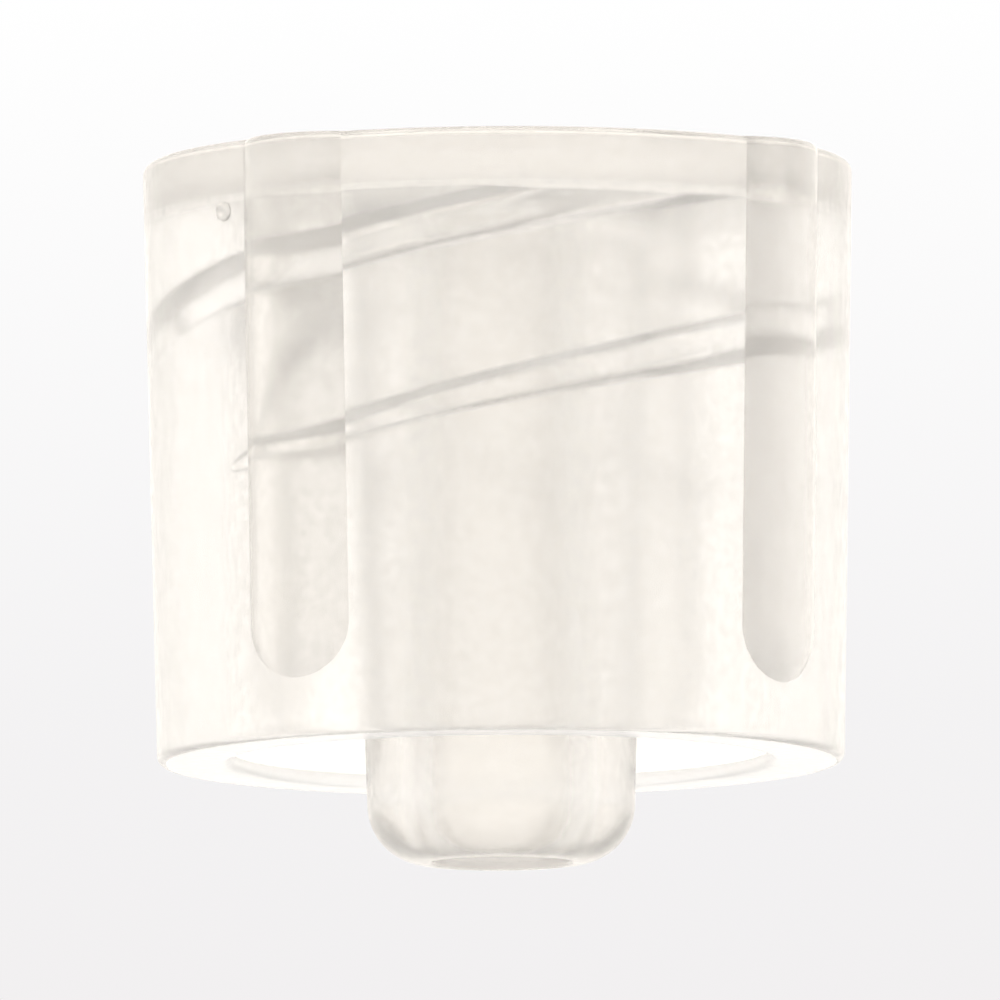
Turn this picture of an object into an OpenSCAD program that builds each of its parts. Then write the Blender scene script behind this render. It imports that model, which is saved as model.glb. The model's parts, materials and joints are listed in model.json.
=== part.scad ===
// Dead-end cap for a male luer lock connection, one injection moulding in natural polypropylene.
// Origin: centre of the open rim. +Z points to the closed end, and -Y is the front.

/* [Collar] */
// Outer radius at the open rim
rim_r = 5.11; // [4.9:0.01:5.4]
// Outer radius at the closed end, wider by the mould's draft
closed_r = 5.28; // [5.1:0.01:5.6]
// Height from the open rim to the closed end
height = 8.95; // [8.6:0.05:10]
// Thickness of the wall at the closed end
end_t = 0.8; // [0.6:0.05:1.1]
// Radius of the thread's root, the bore of the collar
bore_r = 4.0; // [3.9:0.01:4.1]
// Chamfer at the mouth of the bore
lead_in = 0.18; // [0.05:0.01:0.4]
// Broken edge at the rim and at the closed end
edge = 0.1; // [0.05:0.01:0.2]

/* [Luer cone] */
// Outer radius of the cone at its tip, before rounding
tip_r = 1.965; // [1.95:0.005:2.02]
// How far the cone stands out past the rim
tip_out = 1.5; // [0.5:0.1:2.4]
// Growth of the cone's radius per millimetre, half of the 6 % luer taper
taper = 0.03; // [0.03:0.001:0.031]
// Rounding of the tip
tip_round = 0.88; // [0.3:0.01:0.9]
// Radius of the hollow at the tip
hollow_tip_r = 1.04; // [0.8:0.01:1.05]
// Radius of the hollow at its blind end
hollow_end_r = 0.9; // [0.7:0.01:1.0]

/* [Lock thread] */
// Rise of each thread start in one turn
lead = 5; // [5:5]
// Number of thread starts
starts = 2; // [2:2]
// Depth of the ridge, from root to crest
ridge_depth = 0.5; // [0.35:0.01:0.55]
// Full width of the ridge where it meets the bore
ridge_root = 0.78; // [0.6:0.01:1.0]
// Full width of the ridge at its crest
ridge_crest = 0.44; // [0.34:0.01:0.5]
// Share of the full width with which each ridge begins
ridge_slim = 0.35; // [0.2:0.01:1]
// Turn over which a ridge grows to full width
widen = 113; // [30:150]
// Height above the rim at which each ridge's lower flank begins
ridge_from = 4.06; // [3.5:0.01:5]
// Angle at which the first ridge begins, from the front and towards +X
ridge_turn = -61; // [-180:180]
// Turn over which a ridge grows to full depth
run_in = 25; // [10:45]

/* [Grip ribs] */
// Number of ribs round the collar
ribs = 4; // [4:4]
// Angle of the first rib, from the front and towards +X
rib_turn = -35.8; // [-90:0.1:90]
// Radius of a rib's rounded section
rib_r = 1.25; // [1.1:0.01:2]
// Height of a rib above the collar
rib_out = 0.3; // [0.15:0.01:0.4]
// Height above the rim at which the ribs end
rib_from = 0.88; // [0.5:0.01:2]

/* [Gate vestige] */
// Radius of the mark
gate_r = 0.14; // [0.1:0.01:0.25]
// Height of the mark above the collar
gate_out = 0.07; // [0.03:0.01:0.15]
// Height of the mark above the rim
gate_z = 7.9; // [1:0.1:8.5]
// Angle of the mark, from the front and towards +X
gate_turn = -50.5; // [-90:0.5:90]

/* [Hidden] */
$fn = 96;
milky = [0.94, 0.92, 0.88];
milky_thin = [0.96, 0.95, 0.92];
front = -90;                          // angle of -Y, the front
ceiling = height - end_t;             // inner face of the end wall
draft = atan((closed_r - rim_r) / height);
ring_step = 6;                        // degrees between a ridge's sections
ridge_rise = ceiling - ridge_from - (ridge_root - ridge_crest) / 2 - 0.05;
ridge_rings = floor(ridge_rise / lead * 360 / ring_step);
arc_steps = 8;
rib_end = sqrt(pow(rib_r, 2) - pow(rib_r - rib_out, 2));
rib_ball_z = rib_from + rib_end;      // middle of a rib's round end
clear = 1;                            // how far cutting bodies reach past what they cut

// Outer radius of the collar at height z.
function wall_r(z) = rim_r + (closed_r - rim_r) * z / height;

// Outer radius of the luer cone at height z.
function cone_r(z) = tip_r + taper * (z + tip_out);

// One section of a ridge, a degrees from its start: root, crest, crest, root.
function ridge_section(a) =
    let (
        low = ridge_from + lead * a / 360,
        wide = ridge_slim + (1 - ridge_slim) * min(1, a / widen),
        flank = (ridge_root - ridge_crest) / 2,
        crest_r = bore_r - ridge_depth * max(0.12, min(1, a / run_in))
    )
    [
        for (p = [
            [bore_r, 0], [crest_r, flank],
            [crest_r, flank + ridge_crest], [bore_r, ridge_root],
        ])
        [p.x * cos(a), p.x * sin(a), min(low + p.y * wide, ceiling)]
    ];

// The collar's outer surface as a solid, from the rim to the closed end.
module collar_envelope() {
    cylinder(h = height, r1 = rim_r, r2 = closed_r);
}

module lock_collar() {
    color(milky)
    rotate_extrude()
    polygon([
        [bore_r + lead_in, 0], [rim_r - edge, 0], [wall_r(edge), edge],
        [wall_r(ceiling), ceiling], [bore_r, ceiling], [bore_r, lead_in],
    ]);
}

module end_wall() {
    color(milky)
    rotate_extrude()
    polygon([
        [0, ceiling], [wall_r(ceiling), ceiling], [wall_r(height - edge), height - edge],
        [closed_r - edge, height], [0, height],
    ]);
}

module luer_cone() {
    round_z = tip_round - tip_out;
    round_x = cone_r(round_z) - tip_round;
    color(milky_thin)
    rotate_extrude()
    polygon(concat(
        [[hollow_tip_r, -tip_out]],
        [
            for (i = [0:arc_steps])
            let (a = 90 * i / arc_steps - 90)
            [round_x + tip_round * cos(a), round_z + tip_round * sin(a)]
        ],
        [[cone_r(ceiling), ceiling], [hollow_end_r, ceiling]]
    ));
}

// One start of the thread, turned about the axis by the angle given.
module thread_start(turn) {
    sections = [for (k = [0:ridge_rings]) ridge_section(k * ring_step)];
    corners = len(sections[0]);
    points = [for (section = sections) each section];
    sides = [
        for (k = [0:ridge_rings - 1], c = [0:corners - 1])
        let (
            here = k * corners,
            next = here + corners,
            d = (c + 1) % corners
        )
        each [[here + d, here + c, next + c], [here + d, next + c, next + d]]
    ];
    first = [for (c = [0:corners - 1]) c];
    last = [for (c = [corners - 1:-1:0]) ridge_rings * corners + c];
    color(milky_thin)
    rotate(front + ridge_turn + turn)
    polyhedron(points = points, faces = concat([first], sides, [last]));
}

// A rounded rib that follows the collar's draft and ends in a ball.
module grip_rib(index) {
    color(milky_thin)
    rotate(front + rib_turn + 360 * index / ribs)
    difference() {
        intersection() {
            translate([wall_r(rib_ball_z) + rib_out - rib_r, 0, rib_ball_z])
            rotate([0, draft, 0])
            union() {
                cylinder(h = height, r = rib_r);
                sphere(r = rib_r);
            }
            cylinder(h = height, r = closed_r + clear);
        }
        collar_envelope();
    }
}

module gate_vestige() {
    color(milky)
    difference() {
        rotate(front + gate_turn)
        translate([bore_r + clear, 0, gate_z])
        rotate([0, 90, 0])
        cylinder(h = wall_r(gate_z) + gate_out - bore_r - clear, r = gate_r);
        collar_envelope();
    }
}

lock_collar();
end_wall();
luer_cone();
thread_start(0);  // thread_start_a
thread_start(360 / starts);  // thread_start_b
grip_rib(0);  // grip_rib_1
grip_rib(1);  // grip_rib_2
grip_rib(2);  // grip_rib_3
grip_rib(3);  // grip_rib_4
gate_vestige();
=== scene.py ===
"""A dead-end cap for a luer lock, moulded in natural polypropylene, on a plain pale stage."""
import json
import math

import bmesh
import bpy
from mathutils import Matrix, Vector
from mathutils.geometry import delaunay_2d_cdt
from mathutils.kdtree import KDTree


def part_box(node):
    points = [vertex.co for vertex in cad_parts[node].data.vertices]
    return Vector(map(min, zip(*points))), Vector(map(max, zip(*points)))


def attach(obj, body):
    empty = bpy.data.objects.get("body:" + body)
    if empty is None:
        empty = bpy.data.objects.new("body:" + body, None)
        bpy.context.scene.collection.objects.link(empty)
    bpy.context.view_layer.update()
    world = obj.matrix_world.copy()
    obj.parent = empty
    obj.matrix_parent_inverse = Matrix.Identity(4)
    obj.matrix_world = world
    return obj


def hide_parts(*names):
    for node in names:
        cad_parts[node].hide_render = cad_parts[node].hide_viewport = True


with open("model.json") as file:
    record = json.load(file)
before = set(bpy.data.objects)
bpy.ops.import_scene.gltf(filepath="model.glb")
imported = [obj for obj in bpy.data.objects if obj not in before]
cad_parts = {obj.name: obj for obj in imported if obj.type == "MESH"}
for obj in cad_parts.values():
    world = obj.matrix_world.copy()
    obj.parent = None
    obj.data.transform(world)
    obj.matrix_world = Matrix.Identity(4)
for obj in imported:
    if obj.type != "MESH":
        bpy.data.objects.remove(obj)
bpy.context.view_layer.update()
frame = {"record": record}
MM = 0.001


def mount(name):
    return next(m for m in frame["record"]["mounts"] if m["name"] == name)


# ---- Sizes, in millimetres and degrees. The first five come from the frame. ----

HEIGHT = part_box("end_wall")[1].z / MM
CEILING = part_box("end_wall")[0].z / MM
TIP_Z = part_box("luer_cone")[0].z / MM
BORE_R = mount("luer_lock")["dims"]["r_mm"]
TIP_R = mount("luer_taper")["dims"]["r_mm"]
RIM_R, CLOSED_R = 5.11, 5.28
RIM_ROUND, CLOSED_ROUND, LEAD_IN = 0.12, 0.16, 0.18

TAPER = 0.03
TIP_ROUND, MOUTH_ROUND, ROOT_ROUND = 0.88, 0.06, 0.3
HOLLOW_TIP_R, HOLLOW_END_R = 1.04, 0.9

LEAD, STARTS = 5.0, 2
RIDGE_DEPTH, RIDGE_HALF, CREST_HALF = 0.5, 0.39, 0.22
RIDGE_FROM, RIDGE_TURN = 4.06, -61                  # height and angle of the first ridge's start
NOSE, NOSE_DEPTH, RUN_IN = 6, 0.12, 25              # its turn, its share of depth, turn to full depth
RIDGE_SLIM, WIDEN = 0.35, 113                       # share of width at the start, turn to full width

RIBS, RIB_TURN = 4, -35.8
RIB_R, RIB_OUT, RIB_FROM = 1.25, 0.3, 0.88
FRONT = -90                                         # the angle of -Y

GATE_R, GATE_OUT, GATE_Z, GATE_TURN = 0.14, 0.07, 7.9, -50.5

WALL_STEP, BORE_STEP, CONE_STEP = 1.0, 1.5, 2.0     # degrees between columns
BORE_COLUMNS, CONE_COLUMNS = round(360 / BORE_STEP), round(360 / CONE_STEP)
ROW, CONE_ROW, FLAT_ROW = 0.15, 0.6, 0.5            # sizes of a row of faces
BORE_SEAM = -9                                      # degrees from the first ridge's start
OUTSIDE, POLISHED, JOINT, RIM = range(4)            # material slots of every piece

QUARTER = math.pi / 2                               # a quarter turn in radians
NEAR = 1e-6                                         # a length or an angle that counts as none
CELLS = 5000                                        # cells in a millimetre, one corner in each
WELD, CUT_WELD = 3e-4, 2e-4                         # millimetres within which corners join


def spread(first, last, count):
    """Evenly spaced numbers from first to last, one more than the count of steps."""
    return [first + (last - first) * k / count for k in range(count + 1)]


def rows(first, last, row=ROW):
    """The same in steps of about one row."""
    return spread(first, last, max(1, round(abs(last - first) / row)))


def polar(r, degrees, z):
    a = math.radians(degrees)
    return (r * math.cos(a), r * math.sin(a), z)


def wall_r(z):
    """Radius of the drafted outer wall, before its edges are rounded."""
    return RIM_R + (CLOSED_R - RIM_R) * z / HEIGHT


def cone_r(z):
    return TIP_R + TAPER * (z - TIP_Z)


# ---- Grip ribs: capsules sunk in the wall, of which a lens stands out ----

RIB_END = math.sqrt(RIB_R ** 2 - (RIB_R - RIB_OUT) ** 2)
RIB_BALL_Z = RIB_FROM + RIB_END


def rib_section(z):
    """Radius of the capsule's section at height z, and the distance of its middle from the axis."""
    drop = min(RIB_R, max(0.0, RIB_BALL_Z - z))
    return math.sqrt(RIB_R ** 2 - drop ** 2), wall_r(z) + RIB_OUT - RIB_R


def rib_half_angle(z):
    """Degrees from a rib's middle to its edge on the wall, at height z."""
    r, middle = rib_section(z)
    wall = wall_r(z)
    c = (wall ** 2 + middle ** 2 - r ** 2) / (2 * wall * middle)
    return math.degrees(math.acos(min(1.0, c)))


def rib_surface_r(z, off):
    """Radius of a rib's surface at height z, off degrees from its middle."""
    r, middle = rib_section(z)
    a = math.radians(off)
    under = r ** 2 - (middle * math.sin(a)) ** 2
    return max(wall_r(z), middle * math.cos(a) + math.sqrt(max(0.0, under)))


def rib_angle(index):
    return FRONT + RIB_TURN + 360 * index / RIBS


def off_rib(degrees, index):
    """Degrees from a rib's middle, between -180 and 180."""
    return (degrees - rib_angle(index) + 180) % 360 - 180


def rib_at(degrees, z):
    """The rib that covers this place on the wall, or None."""
    for index in range(RIBS):
        if z > RIB_FROM and abs(off_rib(degrees, index)) < rib_half_angle(z):
            return index
    return None


# ---- Lock thread: two ridges that climb from a rounded nose until the ceiling takes them in ----

RIDGE_TOP = (CEILING - RIDGE_FROM) / LEAD * 360


def half_width(a):
    """Half of the width of a ridge's root, a degrees from its start, without its nose."""
    return RIDGE_HALF * (RIDGE_SLIM + (1 - RIDGE_SLIM) * min(1.0, a / WIDEN))


def ridge_z(a):
    """Height of the middle of a ridge there; its lower flank climbs at the lead."""
    return RIDGE_FROM + LEAD * a / 360 + half_width(a)


def nose_round(a):
    """Share of a ridge's full section at a, within its rounded nose."""
    return math.sqrt(1 - (1 - a / NOSE) ** 2) if a < NOSE else 1.0


def ridge_half(a):
    """Half of the width of a ridge's root there."""
    return half_width(a) * nose_round(a)


def ridge_depth(a):
    """Height of a ridge over the bore there; it grows smoothly behind the nose."""
    grown = min(1.0, a / RUN_IN)
    smooth = grown * grown * (3 - 2 * grown)
    return RIDGE_DEPTH * nose_round(a) * (NOSE_DEPTH + (1 - NOSE_DEPTH) * smooth)


def ridge_start(index):
    return FRONT + RIDGE_TURN + 360 * index / STARTS


def ridge_stations(last):
    """Degrees from a ridge's start at which it has a section, closest together at its nose."""
    nose = [NOSE * (1 - math.cos(t)) for t in spread(0, QUARTER, 8)]
    count = int((last - NOSE) / BORE_STEP)
    return nose + [NOSE + BORE_STEP * (k + 1) for k in range(count)] + [last]


def on_ridge(turn, z):
    """Whether a place on the bore, turn degrees from the first ridge's start, is under a ridge."""
    for index in range(STARTS):
        a = (turn - 360 * index / STARTS) % 360
        if abs(z - ridge_z(a)) < ridge_half(a):
            return True
    return False


# ---- Flat triangulations that keep given lines as edges ----


def triangles(points, edges):
    """A triangulation of the points that keeps the given edges."""
    coords, _, faces, *_ = delaunay_2d_cdt([Vector(p) for p in points], edges, [], 0, NEAR)
    return [tuple(c) for c in coords], faces


def centre(triangle):
    """The middle of a triangle, in its first two coordinates."""
    return [sum(p[k] for p in triangle) / 3 for k in range(2)]


def chain(lines, closed=False):
    """The points of several polylines, and the edges that join them."""
    points, edges = [], []
    for line in lines:
        first = len(points)
        points += line
        edges += [(first + k, first + k + 1) for k in range(len(line) - 1)]
        if closed:
            edges.append((len(points) - 1, first))
    return points, edges


ROOM = 0.45                                         # share of a column kept free beside a line


def sheet(columns, levels, lines):
    """A triangulated grid that leaves room for the polylines in lines, which stay edges."""
    points, edges = chain(lines)
    near = KDTree(len(points))
    for k, p in enumerate(points):
        near.insert((*p, 0), k)
    near.balance()
    room = ROOM * abs(columns[1] - columns[0])
    grid = [(u, v) for u in columns for v in levels if near.find((u, v, 0))[2] > room]
    return triangles(points + grid, edges)


def disc(loops, extra=()):
    """A triangulated disc in X and Y, whose closed loops stay edges."""
    points, edges = chain(loops, closed=True)
    return triangles(points + list(extra), edges)


def ring(r, count, turn=0.0):
    """Points on a circle, in X and Y."""
    return [polar(r, turn + 360 * k / count, 0)[:2] for k in range(count)]


# ---- Making pieces ----


class Shell:
    """Collects faces, given as their corner points in millimetres, with a material slot each."""

    def __init__(self):
        self.corners, self.faces, self.slots, self.index = [], [], [], {}

    def corner(self, p):
        """The number of the corner at p, which neighbouring faces share."""
        key = tuple(round(c * CELLS) for c in p)
        if key not in self.index:
            self.index[key] = len(self.corners)
            self.corners.append(p)
        return self.index[key]

    def add(self, points, slot=OUTSIDE):
        """Adds a face, without corners that fall together. One that collapses is left out."""
        face = [self.corner(p) for p in points]
        face = [c for k, c in enumerate(face) if c != face[k - 1]]
        if len(set(face)) == len(face) > 2:
            self.faces.append(face)
            self.slots.append(slot)

    def grid(self, lines, slot=OUTSIDE, closed=False):
        """Quads between neighbouring lines of points."""
        for near, far in zip(lines, lines[1:]):
            last = len(near) if closed else len(near) - 1
            for k in range(last):
                n = (k + 1) % len(near)
                self.add((near[k], near[n], far[n], far[k]), slot)


FLAT, SQUARE = math.radians(8), math.radians(25)    # limits for two triangles to form a quad


def piece(name, node, shell, sharp=32):
    """Turns a shell into a closed, smoothly shaded object that stands for a CAD node."""
    mesh = bpy.data.meshes.new(name)
    scaled = [tuple(c * MM for c in p) for p in shell.corners]
    mesh.from_pydata(scaled, [], shell.faces)
    mesh.polygons.foreach_set("material_index", shell.slots)
    bm = bmesh.new()
    bm.from_mesh(mesh)
    bmesh.ops.remove_doubles(bm, verts=bm.verts, dist=WELD * MM)
    bmesh.ops.recalc_face_normals(bm, faces=bm.faces)
    bmesh.ops.join_triangles(
        bm, faces=[f for f in bm.faces if len(f.verts) == 3], cmp_materials=True,
        angle_face_threshold=FLAT, angle_shape_threshold=SQUARE,
    )
    open_edges = sum(not e.is_manifold for e in bm.edges)
    bm.to_mesh(mesh)
    bm.free()
    print(f"{name}: {len(mesh.polygons)} faces, {open_edges} open edges")
    mesh.shade_smooth()
    mesh.set_sharp_from_angle(angle=math.radians(sharp))
    obj = bpy.data.objects.new(name, mesh)
    bpy.context.scene.collection.objects.link(obj)
    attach(obj, "root")
    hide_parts(node)
    return obj


# ---- The outer wall, shared by the collar, the end wall and the ribs ----

SEAM = rib_angle(0) + 180 / RIBS                    # the sheet's two ends, between two ribs
ARC = math.radians(1) * (RIM_R + CLOSED_R) / 2      # millimetres of wall per degree
WALL_COLUMNS = [WALL_STEP * ARC * k for k in range(round(360 / WALL_STEP) + 1)]


def rounding(radius, along):
    """Where a point along a quarter round is: how far along the wall, and how far inward."""
    a = along / radius
    return radius * math.sin(a), radius * (1 - math.cos(a))


def collar_profile(v):
    """Height and inset at v along the collar's outer profile, from its rim up."""
    turn = RIM_ROUND * QUARTER
    if v >= turn:
        return RIM_ROUND + v - turn, 0.0
    along, inward = rounding(RIM_ROUND, turn - v)
    return RIM_ROUND - along, inward


def end_profile(v):
    """The same for the end wall, from the ceiling to its flat face."""
    straight = HEIGHT - CLOSED_ROUND - CEILING
    if v <= straight:
        return CEILING + v, 0.0
    along, inward = rounding(CLOSED_ROUND, v - straight)
    return HEIGHT - CLOSED_ROUND + along, inward


def rib_outline(index, levels, height_at):
    """A rib's two sides as lines of (column, level); height_at turns a level into a height."""
    middle = ((rib_angle(index) - SEAM) % 360) * ARC
    return [
        [(middle + side * rib_half_angle(height_at(v)) * ARC, v) for v in levels]
        for side in (-1, 1)
    ]


def wall_sheet(profile, levels, outlines):
    """Faces of the wall as (places, rib), with each place (degrees, height, inset)."""
    coords, faces = sheet(WALL_COLUMNS, levels, outlines)
    places = [(SEAM + u / ARC, *profile(v)) for u, v in coords]
    found = []
    for face in faces:
        spot = [places[c] for c in face]
        found.append((spot, rib_at(*centre(spot))))
    return found


def wall_point(place):
    """Where a place on the wall is."""
    degrees, z, inset = place
    return polar(wall_r(z) - inset, degrees, z)


def rib_point(place, index):
    """Where the same place is on the rib that covers it."""
    degrees, z, inset = place
    return polar(rib_surface_r(z, off_rib(degrees, index)) - inset, degrees, z)


def collar_wall():
    """The collar's outer wall, from the rim up to the ceiling."""
    turn = RIM_ROUND * QUARTER
    rise = turn - RIM_ROUND                         # profile length less height, past the rounding
    ball = [RIB_BALL_Z - RIB_END * math.cos(t) for t in spread(0, QUARTER, 20)]
    side = [z + rise for z in ball + rows(RIB_BALL_Z, CEILING)[1:]]
    outlines = []
    for index in range(RIBS):
        left, right = rib_outline(index, side, lambda v: v - rise)
        outlines.append(left[:0:-1] + right)
    levels = spread(0, turn, 6) + [z + rise for z in rows(RIM_ROUND, CEILING)[1:]]
    return wall_sheet(collar_profile, levels, outlines)


def end_wall_side():
    """The end wall's outer side, from the ceiling up to its flat face."""
    straight = HEIGHT - CLOSED_ROUND - CEILING
    levels = rows(0, straight) + spread(straight, straight + CLOSED_ROUND * QUARTER, 6)[1:]
    outlines = []
    for index in range(RIBS):
        outlines += rib_outline(index, levels, lambda v: end_profile(v)[0])
    return wall_sheet(end_profile, levels, outlines)


def edge_loop(wall, z):
    """The wall's points at height z, in order round the axis."""
    found = {}
    for spot, _ in wall:
        for place in spot:
            if abs(place[1] - z) < NEAR:
                found[round(place[0] % 360, 4) % 360] = place
    return [wall_point(found[key]) for key in sorted(found)]


# ---- The pieces ----


def add_wall(shell, wall):
    """Adds the wall's faces to a shell. Those under a rib are joints."""
    for spot, rib in wall:
        shell.add([wall_point(p) for p in spot], OUTSIDE if rib is None else JOINT)


def bore_sheet():
    """Faces of the bore as (points, slot), with the ridges' roots marked as joints."""
    arc = math.radians(BORE_R)                      # millimetres of bore per degree
    end = BORE_SEAM + 360
    outlines = []
    for index in range(STARTS):
        offset = 360 * index / STARTS
        for side in (-1, 1):
            last = RIDGE_TOP - (1 + side) * RIDGE_HALF / LEAD * 360     # at the ceiling
            line = [
                (offset + a, min(CEILING, ridge_z(a) + side * ridge_half(a)))
                for a in ridge_stations(last)
            ]
            before = [(t * arc, z) for t, z in line if t <= end + NEAR]
            after = [((t - 360) * arc, z) for t, z in line if t >= end - NEAR]
            outlines += [part for part in (before, after) if len(part) > 1]
    columns = [(BORE_SEAM + BORE_STEP * k) * arc for k in range(BORE_COLUMNS + 1)]
    coords, faces = sheet(columns, rows(LEAD_IN, CEILING), outlines)
    turn = ridge_start(0)
    for face in faces:
        spot = [coords[c] for c in face]
        u, v = centre(spot)
        slot = JOINT if on_ridge(u / arc, v) else POLISHED
        yield [polar(BORE_R, turn + u / arc, v) for u, v in spot], slot


def bore_mouth():
    """Rings of points down the quarter round at the mouth of the bore."""
    rings = []
    for t in spread(0, QUARTER, 5):
        loop = ring(BORE_R + LEAD_IN * (1 - math.cos(t)), BORE_COLUMNS, ridge_start(0))
        rings.append([(*p, LEAD_IN * (1 - math.sin(t))) for p in loop])
    return rings


def make_collar(wall):
    """The side wall with its rim and its bore, on which the ridges leave joints."""
    shell = Shell()
    add_wall(shell, wall)
    top_points = {}
    for points, slot in bore_sheet():
        shell.add(points, slot)
        for p in points:
            if abs(p[2] - CEILING) < NEAR:
                top_points[round(math.degrees(math.atan2(p[1], p[0])), 4)] = p
    mouth = bore_mouth()
    shell.grid(mouth, RIM, closed=True)
    flat_ring(shell, edge_loop(wall, 0), mouth[-1], 0, RIM)
    bore_top = [top_points[k] for k in sorted(top_points)]
    flat_ring(shell, edge_loop(wall, CEILING), bore_top, CEILING, JOINT)
    return piece("collar_shell", "lock_collar", shell)


def flat_ring(shell, outer, inner, z, slot):
    """Adds a flat ring of faces at height z. Faces within the inner loop are left out."""
    least = min(math.hypot(*p[:2]) for p in inner)
    most = max(math.hypot(*p[:2]) for p in inner)
    slack = 0.01
    coords, faces = disc([[p[:2] for p in outer], [p[:2] for p in inner]])
    for face in faces:
        radii = [math.hypot(*coords[c]) for c in face]
        if max(radii) > most + slack or min(radii) > least + slack:
            shell.add([(*coords[c], z) for c in face], slot)


UPPER_FLANK = 5                                     # points of the profile on the upper flank
RUN_ON = 12                                         # degrees by which a ridge is made too long


def ridge_profile():
    """Section of a ridge as (share of the root's half width, share of the depth)."""
    flank = RIDGE_HALF - CREST_HALF
    side = [(RIDGE_HALF - flank * s, s) for s in (0, 0.25, 0.5, 0.75)]
    crest = [(CREST_HALF + 0.02, 0.93), (CREST_HALF - 0.03, 0.985), (CREST_HALF / 2, 1.0)]
    half = [(w / RIDGE_HALF, d) for w, d in side + crest]
    return [(-w, d) for w, d in half] + [(0, 1.0)] + [(w, d) for w, d in half[::-1]]


def uncut_ridge(index):
    """A ridge that runs on past the ceiling. Its upper flank has the outside's material."""
    profile = ridge_profile()
    flank = len(profile) - UPPER_FLANK
    sections, roots = [], []
    for a in ridge_stations(RIDGE_TOP + RUN_ON):
        degrees = ridge_start(index) + a
        middle, half = ridge_z(a), ridge_half(a)
        sections.append([
            polar(BORE_R - ridge_depth(a) * d, degrees, middle + half * w) for w, d in profile
        ])
        roots.append([polar(BORE_R, degrees, middle + half * w) for w in (-1, 0, 1)])
    shell = Shell()
    shell.grid([section[:flank + 1] for section in sections], POLISHED)
    shell.grid([section[flank:] for section in sections], OUTSIDE)
    shell.grid(roots, JOINT)
    return shell


def make_ridge(index, name, node):
    """A ridge cut off at the ceiling, and the edges of the cut."""
    shell = uncut_ridge(index)
    mesh = bpy.data.meshes.new("cutting")
    mesh.from_pydata(shell.corners, [], shell.faces)
    mesh.polygons.foreach_set("material_index", shell.slots)
    bm = bmesh.new()
    bm.from_mesh(mesh)
    bpy.data.meshes.remove(mesh)
    bmesh.ops.bisect_plane(
        bm, geom=bm.verts[:] + bm.edges[:] + bm.faces[:], dist=NEAR,
        plane_co=(0, 0, CEILING), plane_no=(0, 0, 1), clear_outer=True,
    )
    bmesh.ops.remove_doubles(bm, verts=bm.verts, dist=CUT_WELD)
    cut = [e for e in bm.edges if e.is_boundary]
    cap = [[v.co[:2] for v in e.verts] for e in cut]
    made = bmesh.ops.contextual_create(bm, geom=cut)["faces"]
    for face in made:
        face.material_index = JOINT
    bmesh.ops.triangulate(bm, faces=made)
    closed = Shell()
    for face in bm.faces:
        closed.add([tuple(v.co) for v in face.verts], face.material_index)
    bm.free()
    return piece(name, node, closed), cap


def make_rib(index, collar, end):
    """A rib, made of the same faces as the wall under it, so that the two fit."""
    shell = Shell()
    rim = {}
    for spot, rib in collar + end:
        if rib != index:
            continue
        shell.add([rib_point(p, index) for p in spot])
        shell.add([wall_point(p) for p in spot], JOINT)
        for place in spot:
            if abs(place[1] - HEIGHT) < NEAR:
                rim[round(off_rib(place[0], index), 4)] = place
    edge = [rim[key] for key in sorted(rim)]
    shell.grid([[wall_point(p) for p in edge], [rib_point(p, index) for p in edge]])
    return piece(f"rib_{index + 1}", f"grip_rib_{index + 1}", shell)


def make_end(wall, caps):
    """The end wall. Its inner face has the ridges' cut ends, caps, among its edges."""
    shell = Shell()
    add_wall(shell, wall)
    face_loop = [p[:2] for p in edge_loop(wall, HEIGHT)]
    middle = [p for k in range(1, 10) for p in ring(k * FLAT_ROW, 12 * k)]
    coords, faces = disc([face_loop], middle)
    for face in faces:
        shell.add([(*coords[c], HEIGHT) for c in face])
    outer = [p[:2] for p in edge_loop(wall, CEILING)]
    bore = ring(BORE_R, BORE_COLUMNS, ridge_start(0))
    root = ring(cone_r(CEILING) + ROOT_ROUND, CONE_COLUMNS)
    hollow = ring(HOLLOW_END_R, CONE_COLUMNS // 2)
    points, edges = chain([outer, bore, root, hollow], closed=True)
    for cap in caps:
        for a, b in cap:
            edges.append((len(points), len(points) + 1))
            points += [tuple(a), tuple(b)]
    coords, faces = triangles(points, edges)
    for face in faces:
        spot = [coords[c] for c in face]
        shell.add([(*p, CEILING) for p in spot], ceiling_slot(*centre(spot)))
    return piece("end_disc", "end_wall", shell)


def ceiling_slot(x, y):
    """Whether a place on the end wall's inner face is open or joined to another piece."""
    r = math.hypot(x, y)
    if r > BORE_R * math.cos(math.radians(BORE_STEP / 2)) - NEAR:
        return JOINT
    if r < cone_r(CEILING) + ROOT_ROUND:
        return JOINT if r > HOLLOW_END_R else POLISHED
    turn = math.degrees(math.atan2(y, x)) - ridge_start(0)
    return JOINT if ridge_inner_r(turn) < r else POLISHED


def ridge_inner_r(turn):
    """Radius of the ridges' faces where they run into the ceiling."""
    least = BORE_R
    for index in range(STARTS):
        a = (turn - 360 * index / STARTS) % 360
        w = (CEILING - ridge_z(a)) / half_width(a)
        if abs(w) < 1 and a > NOSE:
            profile = ridge_profile()
            for (w0, d0), (w1, d1) in zip(profile, profile[1:]):
                if w0 <= w <= w1:
                    share = (w - w0) / (w1 - w0)
                    least = min(least, BORE_R - ridge_depth(a) * (d0 + (d1 - d0) * share))
    return least


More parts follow.
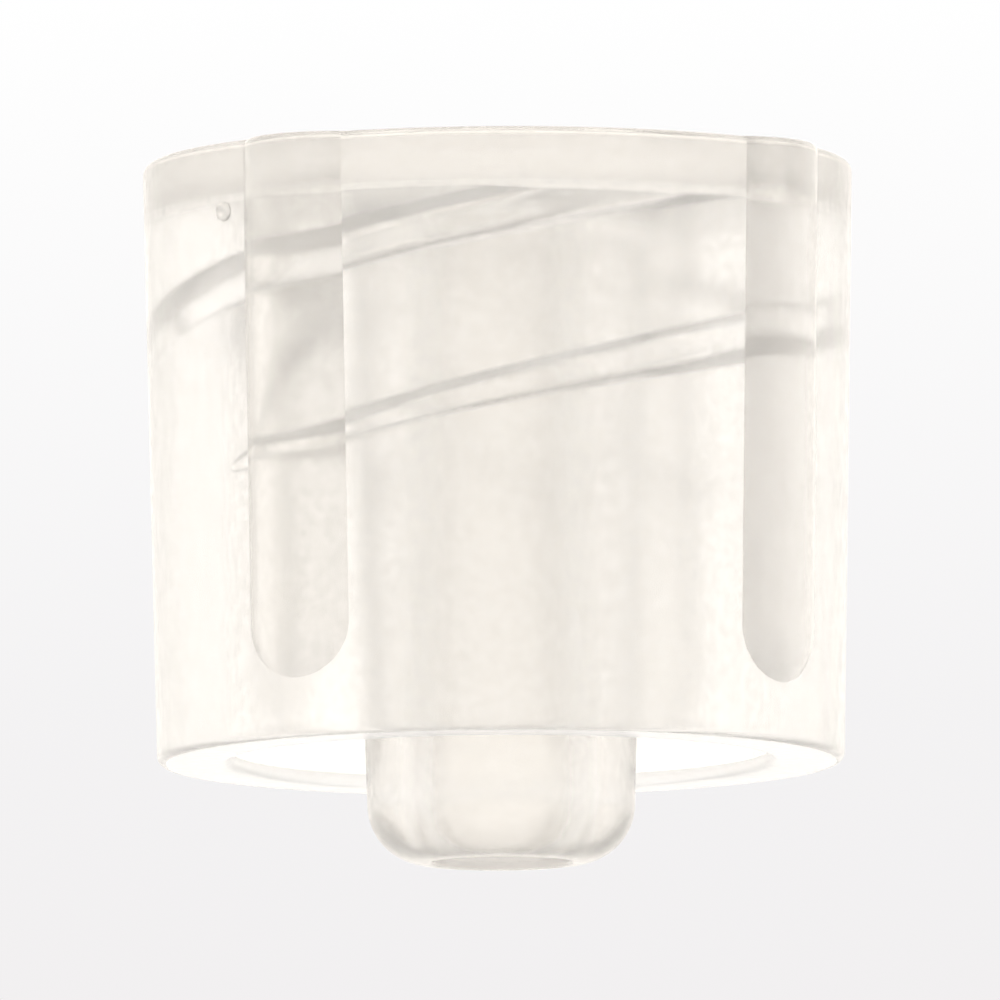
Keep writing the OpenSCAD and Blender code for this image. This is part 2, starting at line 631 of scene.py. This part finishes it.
def cone_profile():
    """Radius and height from the hollow's blind end, round the tip and up to the cone's root."""
    root_z = CEILING - ROOT_ROUND
    tip_z = TIP_Z + TIP_ROUND
    tip_x = cone_r(tip_z) - TIP_ROUND
    profile = [(HOLLOW_END_R, CEILING)]
    for z in rows(CEILING, TIP_Z + MOUTH_ROUND, CONE_ROW)[1:]:
        share = (CEILING - z) / (CEILING - TIP_Z)
        profile.append((HOLLOW_END_R + (HOLLOW_TIP_R - HOLLOW_END_R) * share, z))
    hollow_x = profile[-1][0] + MOUTH_ROUND
    for a in spread(0, QUARTER, 4)[1:]:
        z = TIP_Z + MOUTH_ROUND * (1 - math.sin(a))
        profile.append((hollow_x - MOUTH_ROUND * math.cos(a), z))
    for a in spread(0, QUARTER, 16):
        profile.append((tip_x + TIP_ROUND * math.sin(a), tip_z - TIP_ROUND * math.cos(a)))
    profile += [(cone_r(z), z) for z in rows(tip_z, root_z, CONE_ROW)[1:]]
    for a in spread(0, QUARTER, 8)[1:]:
        r = cone_r(root_z) + ROOT_ROUND * (1 - math.cos(a))
        profile.append((r, root_z + ROOT_ROUND * math.sin(a)))
    return profile


def make_cone():
    """The hollow cone, turned from its profile, with a joint where it meets the end wall."""
    rings = [[(*p, z) for p in ring(r, CONE_COLUMNS)] for r, z in cone_profile()]
    shell = Shell()
    shell.grid(rings, closed=True)
    shell.grid([rings[-1], rings[0]], JOINT, closed=True)
    return piece("cone_tube", "luer_cone", shell)


def make_gate():
    """A low torn stub where the gate broke off, with a hollow in its middle."""
    profile = [(0.0, 0.55), (0.35, 0.6), (0.6, 1.0), (0.85, 0.8), (1.0, 0.2), (1.05, -0.6)]
    out = Matrix.Rotation(math.radians(FRONT + GATE_TURN), 3, "Z")
    rings = []
    for share, lift in profile:
        line = []
        for a in spread(0, 2 * math.pi, 20)[:-1]:
            uneven = 1 + share * (0.12 * math.sin(3 * a + 1) + 0.07 * math.sin(5 * a))
            away = wall_r(GATE_Z) + GATE_OUT * lift * uneven
            spot = Vector((away, GATE_R * share * math.cos(a), GATE_R * share * math.sin(a)))
            line.append(tuple(out @ spot + Vector((0, 0, GATE_Z))))
        rings.append(line)
    shell = Shell()
    shell.grid(rings, closed=True)
    shell.add(rings[-1], JOINT)
    return piece("gate_stub", "gate_vestige", shell, sharp=60)


# ---- Materials ----
# All the plastics are one polypropylene. The thin cone is clear and the wall is satin. The end
# wall and the ribs, being thick, let less light through, and their darker tints are painted shade.
# The side that the core moulded is polished. The ridges' upper flanks have a dark painted shade,
# which shows through the wall as dark lines. The rim and the mouth of the bore are frosted.


def new_material(name):
    """A material, its empty node tree and the tree's output."""
    material = bpy.data.materials.new(name)
    material.use_nodes = True
    tree = material.node_tree
    tree.nodes.clear()
    return material, tree, tree.nodes.new("ShaderNodeOutputMaterial")


def grain(tree, size, stretch=1.0, detail=3):
    """Noise with features of the given size in metres, drawn out along the axis by stretch."""
    place = tree.nodes.new("ShaderNodeTexCoord")
    scaled = tree.nodes.new("ShaderNodeVectorMath")
    scaled.operation = "MULTIPLY"
    scaled.inputs[1].default_value = (1 / size, 1 / size, 1 / (size * stretch))
    noise = tree.nodes.new("ShaderNodeTexNoise")
    noise.inputs["Scale"].default_value = 1
    noise.inputs["Detail"].default_value = detail
    tree.links.new(place.outputs["Object"], scaled.inputs[0])
    tree.links.new(scaled.outputs[0], noise.inputs["Vector"])
    return noise.outputs["Fac"]


def rescaled(tree, source, low, high, new_low=0.0, new_high=1.0):
    """A number between low and high, brought to between new_low and new_high."""
    node = tree.nodes.new("ShaderNodeMapRange")
    node.inputs["From Min"].default_value, node.inputs["From Max"].default_value = low, high
    node.inputs["To Min"].default_value, node.inputs["To Max"].default_value = new_low, new_high
    tree.links.new(source, node.inputs["Value"])
    return node.outputs[0]


def between(tree, noise, low, high):
    """A noise's middle range, where most of it lies, spread from low to high."""
    return rescaled(tree, noise, 0.35, 0.65, low, high)


def bump(tree, height, distance, strength, under=None):
    """Unevenness of the given height in metres, on top of another bump where one is given."""
    node = tree.nodes.new("ShaderNodeBump")
    node.inputs["Distance"].default_value = distance
    node.inputs["Strength"].default_value = strength
    tree.links.new(height, node.inputs["Height"])
    if under:
        tree.links.new(under, node.inputs["Normal"])
    return node.outputs[0]


def ramp(tree, source, stops):
    """A linear colour ramp along a number, with stops of (place, colour)."""
    node = tree.nodes.new("ShaderNodeValToRGB")
    elements = node.color_ramp.elements
    elements[0].position, elements[1].position = 0, 1
    while len(elements) < len(stops):
        elements.new(0.5)
    for element, (place, colour) in zip(elements, stops):
        element.position = place
        element.color = (*colour, 1)
    tree.links.new(source, node.inputs[0])
    return node.outputs[0]


FLOW, STREAK, MOTTLE = 0.9 * MM, 3, 0.16 * MM       # flow waves, their stretch, and mottling
WAVE_DEPTH, MOTTLE_DEPTH = 0.05 * MM, 0.004 * MM
REFRACTION = 1.49


def polypropylene(name, cloudy, clear, clearness, frost=0.225, waviness=0.22):
    """Milky plastic, a little uneven in tint, haze and surface, as it flowed and shrank.

    Its tint goes from cloudy to clear, at random; where a piece's tints are dark, they are
    painted shade. Clearness is the share of light that passes through.
    """
    material, tree, output = new_material("polypropylene_" + name)
    shader = tree.nodes.new("ShaderNodeBsdfPrincipled")
    shader.inputs["IOR"].default_value = REFRACTION
    shader.inputs["Transmission Weight"].default_value = clearness
    flow = grain(tree, FLOW, stretch=STREAK)
    mottle = grain(tree, MOTTLE, detail=2)
    colour = ramp(tree, between(tree, mottle, 0, 1), [(0, cloudy), (1, clear)])
    tree.links.new(colour, shader.inputs["Base Color"])
    tree.links.new(between(tree, mottle, 1.15 * frost, 0.85 * frost), shader.inputs["Roughness"])
    waves = bump(tree, flow, WAVE_DEPTH, waviness)
    normal = bump(tree, mottle, MOTTLE_DEPTH, waviness, waves)
    tree.links.new(normal, shader.inputs["Normal"])
    tree.links.new(shader.outputs[0], output.inputs["Surface"])
    return material


def inner_joint():
    """Passes light straight on where two regions of the one moulding meet."""
    material, tree, output = new_material("inner_joint")
    shader = tree.nodes.new("ShaderNodeBsdfTransparent")
    tree.links.new(shader.outputs[0], output.inputs["Surface"])
    return material


def plastic_outsides():
    """The plastic on the outside of each kind of piece, by the first word of its name."""
    wall = polypropylene("wall", (0.96, 0.95, 0.935), (0.997, 0.994, 0.99), 0.82)
    cone = polypropylene("cone", (0.965, 0.957, 0.943), (0.993, 0.989, 0.982), 0.97)
    # the end wall's darker tint is painted shade
    end = polypropylene("end", (0.89, 0.87, 0.842), (0.94, 0.923, 0.9), 0.76)
    # the ribs' darker tint is painted shade
    rib = polypropylene("rib", (0.79, 0.772, 0.745), (0.835, 0.82, 0.798), 0.73)
    # the ridges' upper flanks: a dark tint that is painted shade, for the dark thread lines
    scuffed = polypropylene("scuffed", (0.45, 0.43, 0.4), (0.55, 0.53, 0.5), 0.6)
    return {
        "collar": wall, "gate": wall, "cone": cone, "end": end, "rib": rib, "ridge": scuffed,
    }


def dress(pieces):
    """Gives every piece its materials, one for each slot."""
    outsides = plastic_outsides()
    polished = polypropylene("polished", (0.99, 0.987, 0.98), (1, 1, 1), 0.99, 0.2, 0.2)
    joint = inner_joint()
    frosted = polypropylene("frosted", (0.985, 0.975, 0.96), (1, 0.997, 0.99), 0.5)
    for made in pieces:
        kind = made.name.split("_")[0]
        for material in (outsides[kind], polished, joint, frosted):
            made.data.materials.append(material)


# ---- Stage, in metres and degrees ----

CAMERA_AWAY, FRAME_WIDTH = 0.65, 14.88 * MM
CAMERA_TILT, CAMERA_ROLL = -6.0, -0.35
AIM = Vector((0.01 * MM, 0, 3.93 * MM))
FLOOR_Z, FLOOR_HALF = -0.075, 3.0


def make_camera():
    """A long lens in front of the cap, which looks up at it a little."""
    data = bpy.data.cameras.new("camera")
    data.lens = data.sensor_width * CAMERA_AWAY / FRAME_WIDTH
    data.clip_start, data.clip_end = 0.01, 10
    camera = bpy.data.objects.new("camera", data)
    tilt = math.radians(CAMERA_TILT)
    back = Vector((0, -math.cos(tilt), math.sin(tilt)))
    camera.location = AIM + back * CAMERA_AWAY
    upright = Matrix.Rotation(math.radians(90) - tilt, 3, "X")
    roll = Matrix.Rotation(math.radians(CAMERA_ROLL), 3, "Z")
    camera.rotation_euler = (upright @ roll).to_euler()
    bpy.context.scene.collection.objects.link(camera)
    bpy.context.scene.camera = camera


WARMTH, LIGHT = (1.0, 0.958, 0.902), 1.51           # colour and strength of the room's light
ROOM_UP = [(0, 0.9), (0.25, 0.88), (0.42, 1)]       # its brightness from below upwards
ROOM_BACK = [(0, 0.66), (0.45, 0.78), (0.6, 0.86), (0.9, 0.9), (0.975, 0.98)]   # to the back
SWEEP_LOW, SWEEP_HIGH = 0.093, 0.116                # rise of the view where it starts and ends
# the sweep is greyer low in the view and white above, a painted shade on the backdrop
SWEEP = [(0, (0.885, 0.87, 0.876)), (0.3, (0.902, 0.892, 0.898)), (1, (1, 1, 1))]


def shades(levels, tint=(1, 1, 1)):
    """Stops of a ramp with one tint at several levels of brightness."""
    return [(place, tuple(level * c for c in tint)) for place, level in levels]


def mixed(tree, first, second, how="MIX"):
    """A node that mixes two colours, by a factor of 1 unless one is linked to it."""
    node = tree.nodes.new("ShaderNodeMix")
    node.data_type, node.blend_type = "RGBA", how
    node.inputs["Factor"].default_value = 1
    tree.links.new(first, node.inputs["A"])
    tree.links.new(second, node.inputs["B"])
    return node


def make_world():
    """For the camera, a pale sweep. For the light, a soft warm room that is brighter behind."""
    world = bpy.data.worlds.new("studio")
    world.use_nodes = True
    tree = world.node_tree
    tree.nodes.clear()
    output = tree.nodes.new("ShaderNodeOutputWorld")
    place = tree.nodes.new("ShaderNodeTexCoord")
    along = tree.nodes.new("ShaderNodeSeparateXYZ")
    tree.links.new(place.outputs["Generated"], along.inputs[0])
    sweep = ramp(tree, rescaled(tree, along.outputs["Z"], SWEEP_LOW, SWEEP_HIGH), SWEEP)
    upright = ramp(tree, rescaled(tree, along.outputs["Z"], -1, 1), shades(ROOM_UP, WARMTH))
    depth = ramp(tree, rescaled(tree, along.outputs["Y"], -1, 1), shades(ROOM_BACK))
    room = mixed(tree, upright, depth, "MULTIPLY").outputs["Result"]
    seen = tree.nodes.new("ShaderNodeLightPath").outputs["Is Camera Ray"]
    pick = mixed(tree, room, sweep)
    tree.links.new(seen, pick.inputs["Factor"])
    light = tree.nodes.new("ShaderNodeBackground")
    tree.links.new(pick.outputs["Result"], light.inputs["Color"])
    tree.links.new(rescaled(tree, seen, 0, 1, LIGHT, 1), light.inputs["Strength"])
    tree.links.new(light.outputs[0], output.inputs["Surface"])
    bpy.context.scene.world = world


def make_floor():
    """Pale paper far below the cap, which can't be seen through the cap or mirrored in it."""
    mesh = bpy.data.meshes.new("floor")
    signs = ((-1, -1), (1, -1), (1, 1), (-1, 1))
    corners = [(FLOOR_HALF * x, FLOOR_HALF * y, FLOOR_Z) for x, y in signs]
    mesh.from_pydata(corners, [], [(0, 1, 2, 3)])
    floor = bpy.data.objects.new("floor", mesh)
    bpy.context.scene.collection.objects.link(floor)
    material, tree, output = new_material("floor_paper")
    shader = tree.nodes.new("ShaderNodeBsdfDiffuse")
    shader.inputs["Color"].default_value = (0.88, 0.92, 0.98, 1)
    tree.links.new(shader.outputs[0], output.inputs["Surface"])
    mesh.materials.append(material)
    floor.visible_transmission = False
    floor.visible_glossy = False


def make_pieces():
    """All the pieces of the cap."""
    collar_side, end_side = collar_wall(), end_wall_side()
    collar = make_collar(collar_side)
    ridge_a, cap_a = make_ridge(0, "ridge_a", "thread_start_a")
    ridge_b, cap_b = make_ridge(1, "ridge_b", "thread_start_b")
    ribs = [make_rib(index, collar_side, end_side) for index in range(RIBS)]
    end = make_end(end_side, [cap_a, cap_b])
    return [collar, ridge_a, ridge_b, *ribs, end, make_cone(), make_gate()]


def let_light_through():
    """Plain colours, and enough bounces for light to cross all the walls of the cap."""
    scene = bpy.context.scene
    scene.view_settings.view_transform = "Standard"
    scene.cycles.max_bounces = 32
    scene.cycles.diffuse_bounces = 8
    scene.cycles.glossy_bounces = 16
    scene.cycles.transmission_bounces = 32
    scene.cycles.transparent_max_bounces = 32


dress(make_pieces())
make_camera()
make_world()
make_floor()
let_light_through()
